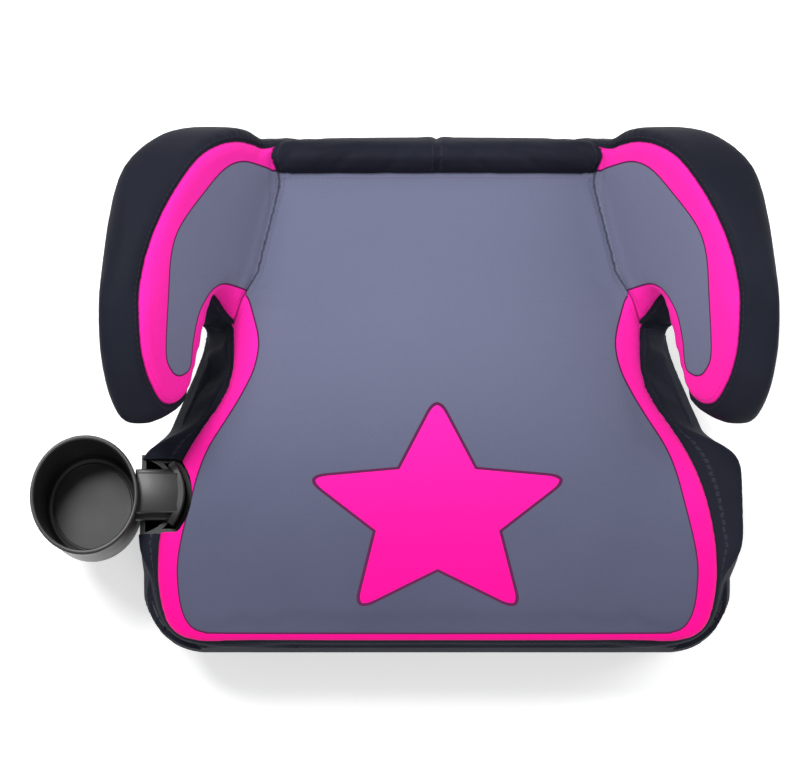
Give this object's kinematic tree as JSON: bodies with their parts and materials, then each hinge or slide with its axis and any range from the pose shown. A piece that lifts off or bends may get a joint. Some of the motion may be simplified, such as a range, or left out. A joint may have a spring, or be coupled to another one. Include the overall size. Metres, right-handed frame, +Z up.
{
  "type": "booster seat",
  "caption": "Backless child's booster seat with padded deck, raised rear lip, two curved armrests over open lap-belt slots, and a lift-out cup holder on one side.",
  "frame": {"origin": "on the underside of the base tray, on the seat's centre line, at the middle of the base mount face", "axes": "+Z up; +Y to the back of the seat; +X to the side without the cup holder fitted, so the cup holder is on -X"},
  "size_m": [0.4923, 0.346, 0.219],
  "materials": {
    "printed_fabric": "fine woven cloth, grey-violet print with a hot pink border",
    "black_fabric": "smooth black knit with a slight sheen",
    "foam": "open-cell foam, light grey",
    "shell_plastic": "black moulded polypropylene, fine texture",
    "holder_plastic": "black satin moulded plastic",
    "grip_rubber": "ribbed black rubber",
    "screw_steel": "zinc-plated steel"
  },
  "bodies": {
    "seat": {"base_screws": "screw_steel", "base_tray": "shell_plastic", "front_skin": "black_fabric", "grip_pads": "grip_rubber", "hem_elastic": "black_fabric", "left_arm_foam": "foam", "left_arm_panel": "printed_fabric", "left_arm_skin": "black_fabric", "left_armrest_inner_shell": "shell_plastic", "left_armrest_outer_shell": "shell_plastic", "left_armrest_screws": "screw_steel", "left_cup_socket": "holder_plastic", "left_rear_band": "black_fabric", "left_side_skin": "black_fabric", "rear_lip_foam": "foam", "rear_skin": "black_fabric", "right_arm_foam": "foam", "right_arm_panel": "printed_fabric", "right_arm_skin": "black_fabric", "right_armrest_inner_shell": "shell_plastic", "right_armrest_outer_shell": "shell_plastic", "right_armrest_screws": "screw_steel", "right_cup_socket": "holder_plastic", "right_rear_band": "black_fabric", "right_side_skin": "black_fabric", "seat_cover_panel": "printed_fabric", "seat_foam": "foam", "seat_shell": "shell_plastic", "socket_screws": "screw_steel"},
    "cup_holder": {"cup_holder": "holder_plastic"}
  },
  "joints": [
    {"name": "cup_holder_lift", "type": "slide", "parent": "seat", "child": "cup_holder", "axis": [0, 0, 1], "range_m": [0, 0.06]}
  ]
}
